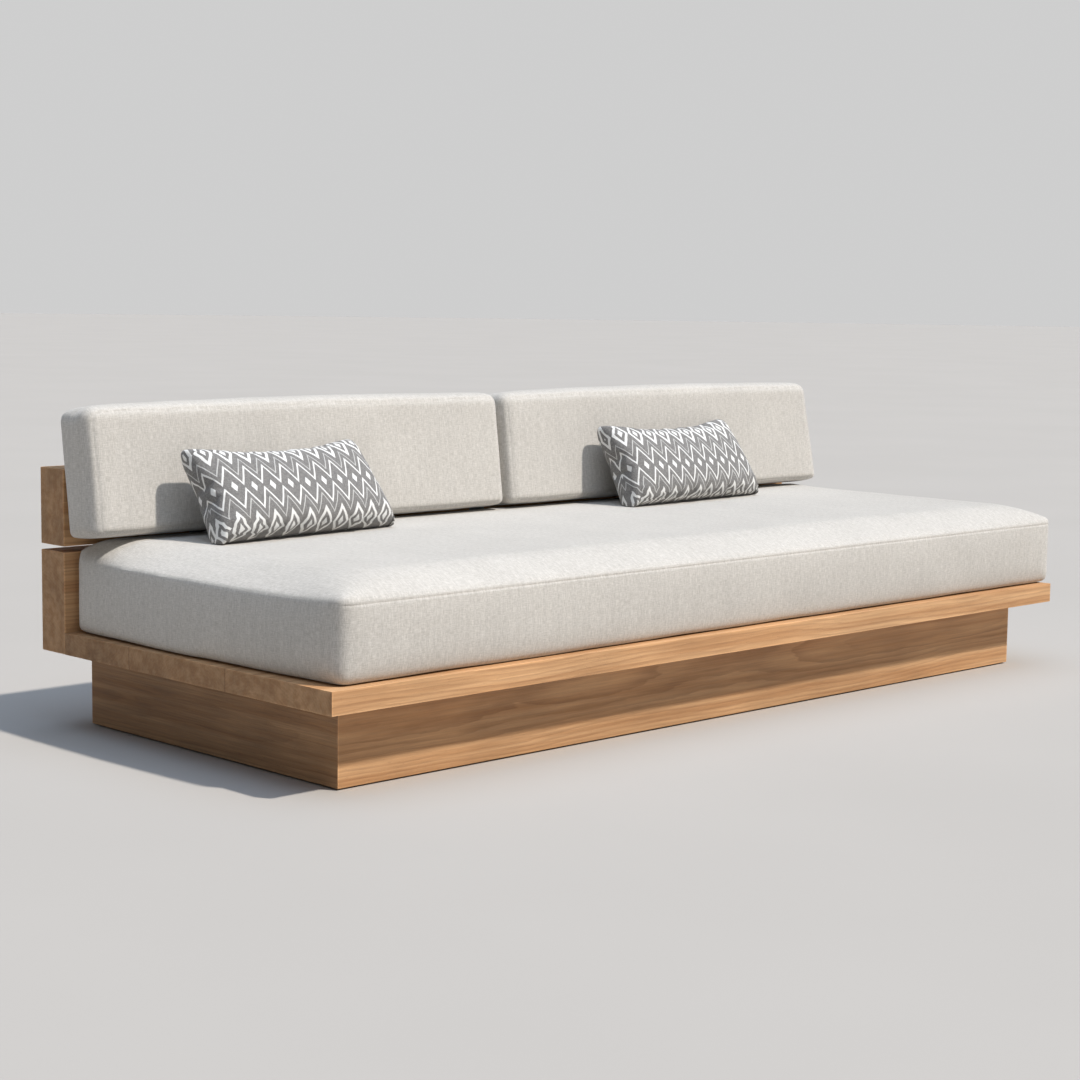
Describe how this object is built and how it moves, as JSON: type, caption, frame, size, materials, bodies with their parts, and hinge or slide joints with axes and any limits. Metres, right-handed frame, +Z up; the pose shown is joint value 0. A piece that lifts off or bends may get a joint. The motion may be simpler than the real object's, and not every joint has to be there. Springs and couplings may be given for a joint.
{
  "type": "daybed",
  "caption": "Low teak platform daybed with an inset plinth, a two-board back, a thick mattress, leaning back cushions and patterned lumbar pillows.",
  "frame": {"origin": "on the floor, under the middle of the whole daybed", "axes": "+X along the length to the right of someone facing the front, +Y to the rear, +Z up; the front faces -Y"},
  "size_m": [2.424, 1, 0.7038],
  "materials": {
    "teak": "satin",
    "steel": "satin",
    "foot_plastic": "matte",
    "plain_fabric": "matte",
    "patterned_fabric": "matte",
    "filling": "matte",
    "zip": "matte"
  },
  "bodies": {
    "frame": {"plinth_front_board": "teak", "plinth_right_board": "teak", "plinth_rear_board": "teak", "plinth_left_board": "teak", "corner_block_front_left": "teak", "corner_block_front_right": "teak", "corner_block_rear_right": "teak", "corner_block_rear_left": "teak", "bearer_left": "teak", "bearer_middle": "teak", "bearer_right": "teak", "deck_cleat_front": "teak", "deck_cleat_rear": "teak", "deck_cleat_left": "teak", "deck_cleat_right": "teak", "deck_plank_front": "teak", "deck_plank_middle": "teak", "deck_plank_rear": "teak", "deck_spline_front": "teak", "deck_spline_rear": "teak", "back_board_dowels": "teak", "back_board_lower": "teak", "back_board_upper": "teak", "back_spacer_left": "teak", "back_spacer_middle": "teak", "back_spacer_right": "teak", "back_bracket_left": "steel", "back_bracket_middle": "steel", "back_bracket_right": "steel", "bracket_deck_screws": "steel", "bracket_board_screws": "steel", "deck_screws": "steel", "floor_feet_screws": "steel", "floor_feet": "foot_plastic"},
    "mattress": {"seat_mattress_cover": "plain_fabric", "seat_mattress_core": "filling", "seat_mattress_zip": "zip"},
    "cushion_left": {"back_cushion_left_cover": "plain_fabric", "back_cushion_left_core": "filling", "back_cushion_left_zip": "zip"},
    "cushion_right": {"back_cushion_right_cover": "plain_fabric", "back_cushion_right_core": "filling", "back_cushion_right_zip": "zip"},
    "pillow_left": {"pillow_left_cover": "patterned_fabric", "pillow_left_insert": "filling", "pillow_left_zip": "zip"},
    "pillow_right": {"pillow_right_cover": "patterned_fabric", "pillow_right_insert": "filling", "pillow_right_zip": "zip"}
  },
  "joints": [
    {"name": "mattress_lift", "type": "slide", "parent": "frame", "child": "mattress", "axis": [0, 0, 1], "range_m": [0, 0.36]},
    {"name": "cushion_left_lift", "type": "slide", "parent": "mattress", "child": "cushion_left", "axis": [0, 0.1305, 0.9914], "range_m": [0, 0.3]},
    {"name": "cushion_right_lift", "type": "slide", "parent": "mattress", "child": "cushion_right", "axis": [0, 0.1305, 0.9914], "range_m": [0, 0.3]},
    {"name": "pillow_left_lift", "type": "slide", "parent": "mattress", "child": "pillow_left", "axis": [0, 0, 1], "range_m": [0, 0.3]},
    {"name": "pillow_right_lift", "type": "slide", "parent": "mattress", "child": "pillow_right", "axis": [0, 0, 1], "range_m": [0, 0.3]}
  ]
}
